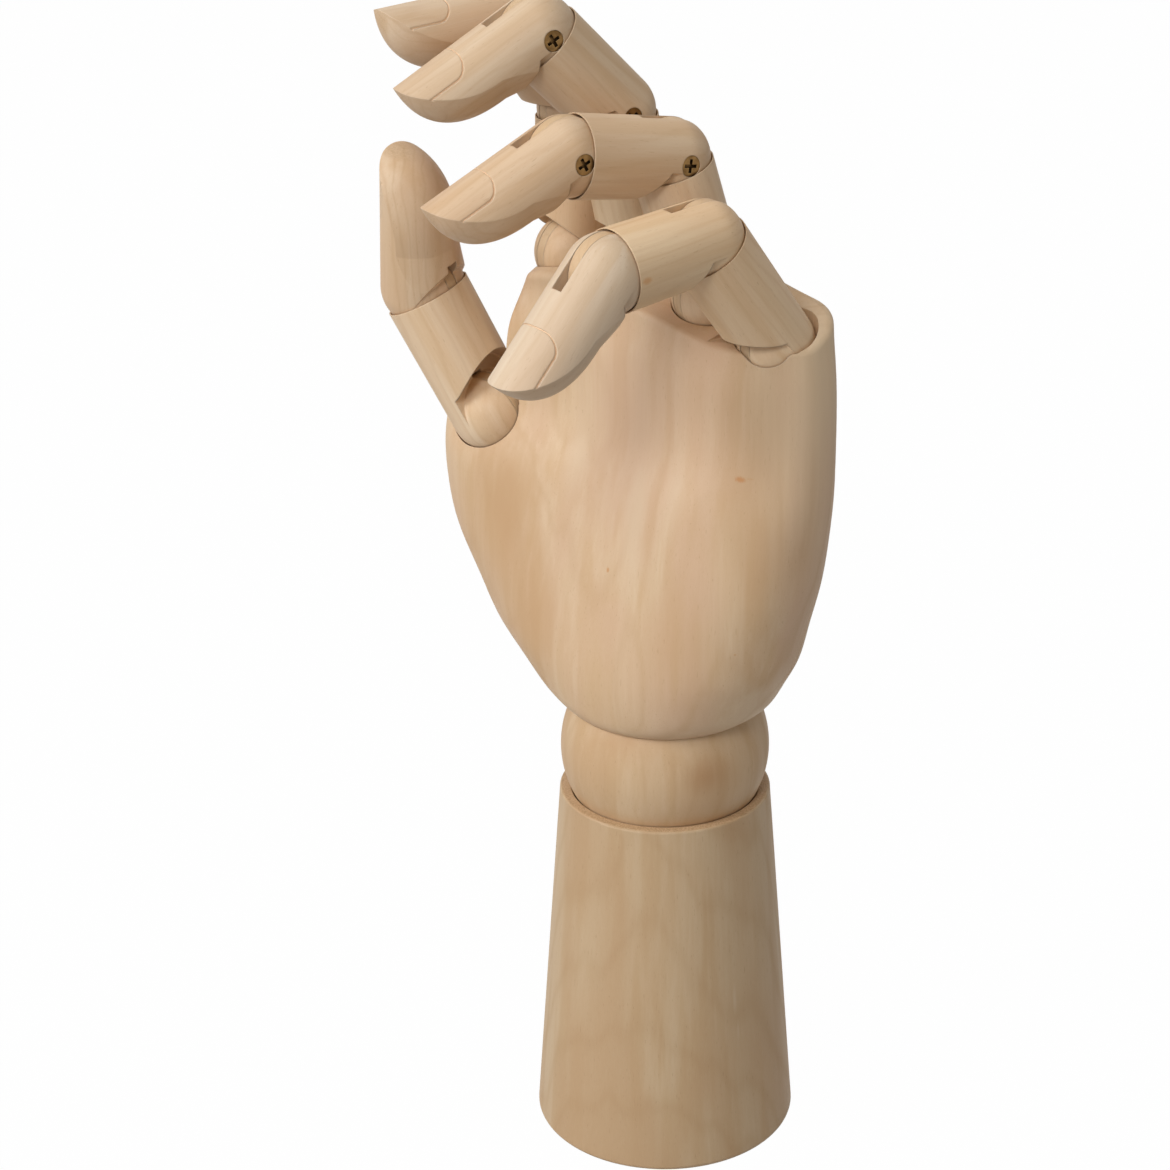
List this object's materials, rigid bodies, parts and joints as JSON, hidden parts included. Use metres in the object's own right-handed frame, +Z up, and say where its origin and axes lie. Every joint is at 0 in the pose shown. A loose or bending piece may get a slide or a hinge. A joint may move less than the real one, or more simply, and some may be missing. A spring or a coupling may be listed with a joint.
{
  "type": "artist's hand mannequin",
  "caption": "Jointed wooden left hand for drawing, fingers bent towards the thumb, held by a wooden ball on a tapering turned stand",
  "frame": {"origin": "middle of the stand's flat foot", "axes": "+Z up the wrist to the fingers, the palm faces -Y, the thumb is on the -X side"},
  "size_m": [0.111, 0.1087, 0.2859],
  "materials": {
    "wood": "sanded bare pale wood",
    "slat": "sawn thin wood",
    "brass": "brass cross-head screws",
    "steel": "plain wire and bolts"
  },
  "bodies": {
    "base": {"base": "wood"},
    "wrist_anchor": {"wrist_eye_bolt": "steel", "anchor_washer": "steel", "anchor_nut": "steel"},
    "wrist_ball": {"wrist_ball": "wood", "wrist_spring": "steel"},
    "palm": {"palm": "wood", "wrist_anchor_eye": "steel", "finger_anchor_eyes": "steel"},
    "index_knuckle": {"index_knuckle_tongue": "slat", "index_knuckle_spring": "steel"},
    "index_proximal": {"index_proximal_phalanx": "wood", "index_proximal_screw": "brass", "index_proximal_tongue": "slat"},
    "index_middle": {"index_middle_phalanx": "wood", "index_middle_screw": "brass", "index_middle_tongue": "slat"},
    "index_tip": {"index_fingertip": "wood", "index_fingertip_screw": "brass"},
    "middle_knuckle": {"middle_knuckle_tongue": "slat", "middle_knuckle_spring": "steel"},
    "middle_proximal": {"middle_proximal_phalanx": "wood", "middle_proximal_screw": "brass", "middle_proximal_tongue": "slat"},
    "middle_middle": {"middle_middle_phalanx": "wood", "middle_middle_screw": "brass", "middle_middle_tongue": "slat"},
    "middle_tip": {"middle_fingertip": "wood", "middle_fingertip_screw": "brass"},
    "ring_knuckle": {"ring_knuckle_tongue": "slat", "ring_knuckle_spring": "steel"},
    "ring_proximal": {"ring_proximal_phalanx": "wood", "ring_proximal_screw": "brass", "ring_proximal_tongue": "slat"},
    "ring_middle": {"ring_middle_phalanx": "wood", "ring_middle_screw": "brass", "ring_middle_tongue": "slat"},
    "ring_tip": {"ring_fingertip": "wood", "ring_fingertip_screw": "brass"},
    "little_knuckle": {"little_knuckle_tongue": "slat", "little_knuckle_spring": "steel"},
    "little_proximal": {"little_proximal_phalanx": "wood", "little_proximal_screw": "brass", "little_proximal_tongue": "slat"},
    "little_middle": {"little_middle_phalanx": "wood", "little_middle_screw": "brass", "little_middle_tongue": "slat"},
    "little_tip": {"little_fingertip": "wood", "little_fingertip_screw": "brass"},
    "thumb_knuckle": {"thumb_knuckle_tongue": "slat", "thumb_knuckle_spring": "steel"},
    "thumb_proximal": {"thumb_proximal_phalanx": "wood", "thumb_proximal_screw": "brass", "thumb_proximal_tongue": "slat"},
    "thumb_tip": {"thumb_tip": "wood", "thumb_tip_screw": "brass"}
  },
  "joints": [
    {"name": "wrist_turn", "type": "hinge", "parent": "base", "child": "wrist_anchor", "pos_m": [0, 0, 0.022], "axis": [0, 0, 1], "range_deg": [-90, 90]},
    {"name": "wrist_side", "type": "hinge", "parent": "wrist_anchor", "child": "wrist_ball", "pos_m": [0, 0, 0.1024], "axis": [0, 1, 0], "range_deg": [-25, 25], "deforming": ["wrist_spring"]},
    {"name": "wrist_bend", "type": "hinge", "parent": "wrist_ball", "child": "palm", "pos_m": [0, 0, 0.1024], "axis": [1, 0, 0], "range_deg": [-30, 30], "deforming": ["wrist_spring"]},
    {"name": "index_spread", "type": "hinge", "parent": "palm", "child": "index_knuckle", "pos_m": [-0.0295, 0.0025, 0.22], "axis": [0, 0, 1], "range_deg": [-25, 2], "deforming": ["index_knuckle_spring"]},
    {"name": "index_knuckle_bend", "type": "hinge", "parent": "index_knuckle", "child": "index_proximal", "pos_m": [-0.0295, 0.0025, 0.22], "axis": [-0.9478, 0.319, 0], "range_deg": [-38, 4]},
    {"name": "index_middle_bend", "type": "hinge", "parent": "index_proximal", "child": "index_middle", "pos_m": [-0.02906, 0.00379, 0.25397], "axis": [0.9478, -0.319, 0], "range_deg": [-38, 38]},
    {"name": "index_tip_bend", "type": "hinge", "parent": "index_middle", "child": "index_tip", "pos_m": [-0.03403, -0.01097, 0.27541], "axis": [0.9478, -0.319, 0], "range_deg": [-58, 28]},
    {"name": "middle_spread", "type": "hinge", "parent": "palm", "child": "middle_knuckle", "pos_m": [-0.006, -0.001, 0.225], "axis": [0, 0, 1], "range_deg": [-1.5, 4], "deforming": ["middle_knuckle_spring"]},
    {"name": "middle_knuckle_bend", "type": "hinge", "parent": "middle_knuckle", "child": "middle_proximal", "pos_m": [-0.006, -0.001, 0.225], "axis": [-0.91, 0.4147, 0], "range_deg": [-70, 20]},
    {"name": "middle_middle_bend", "type": "hinge", "parent": "middle_proximal", "child": "middle_middle", "pos_m": [-0.00857, -0.00664, 0.25843], "axis": [0.91, -0.4147, 0], "range_deg": [-34.5, 54]},
    {"name": "middle_tip_bend", "type": "hinge", "parent": "middle_middle", "child": "middle_tip", "pos_m": [-0.01634, -0.02369, 0.27717], "axis": [0.91, -0.4147, 0], "range_deg": [-75, 15]},
    {"name": "ring_spread", "type": "hinge", "parent": "palm", "child": "ring_knuckle", "pos_m": [0.0136, -0.001, 0.2192], "axis": [0, 0, 1], "range_deg": [-1.5, 12], "deforming": ["ring_knuckle_spring"]},
    {"name": "ring_knuckle_bend", "type": "hinge", "parent": "ring_knuckle", "child": "ring_proximal", "pos_m": [0.0136, -0.001, 0.2192], "axis": [-0.9397, 0.342, 0], "range_deg": [-45, 25]},
    {"name": "ring_middle_bend", "type": "hinge", "parent": "ring_proximal", "child": "ring_middle", "pos_m": [0.01001, -0.01087, 0.25154], "axis": [0.9397, -0.342, 0], "range_deg": [-63.5, 25]},
    {"name": "ring_tip_bend", "type": "hinge", "parent": "ring_middle", "child": "ring_tip", "pos_m": [0.00104, -0.0355, 0.25545], "axis": [0.9397, -0.342, 0], "range_deg": [-35, 54]},
    {"name": "little_spread", "type": "hinge", "parent": "palm", "child": "little_knuckle", "pos_m": [0.0325, -0.002, 0.212], "axis": [0, 0, 1], "range_deg": [-6, 28], "deforming": ["little_knuckle_spring"]},
    {"name": "little_knuckle_bend", "type": "hinge", "parent": "little_knuckle", "child": "little_proximal", "pos_m": [0.0325, -0.002, 0.212], "axis": [-0.9763, 0.2164, 0], "range_deg": [-7, 40]},
    {"name": "little_middle_bend", "type": "hinge", "parent": "little_proximal", "child": "little_middle", "pos_m": [0.02802, -0.02221, 0.23897], "axis": [0.9763, -0.2164, 0], "range_deg": [-57.5, 30]},
    {"name": "little_tip_bend", "type": "hinge", "parent": "little_middle", "child": "little_tip", "pos_m": [0.02231, -0.04798, 0.23666], "axis": [0.9763, -0.2164, 0], "range_deg": [-42.5, 45]},
    {"name": "thumb_turn", "type": "hinge", "parent": "palm", "child": "thumb_knuckle", "pos_m": [-0.0433, -0.0115, 0.1816], "axis": [-0.3807, -0.2473, 0.891], "range_deg": [-45, 45], "deforming": ["thumb_knuckle_spring"]},
    {"name": "thumb_knuckle_bend", "type": "hinge", "parent": "thumb_knuckle", "child": "thumb_proximal", "pos_m": [-0.0433, -0.0115, 0.1816], "axis": [0.0337, -0.9667, -0.2539], "range_deg": [-5.5, 8]},
    {"name": "thumb_tip_bend", "type": "hinge", "parent": "thumb_proximal", "child": "thumb_tip", "pos_m": [-0.05636, -0.01998, 0.21216], "axis": [-0.0337, 0.9667, 0.2539], "range_deg": [-38, 10.5]}
  ]
}
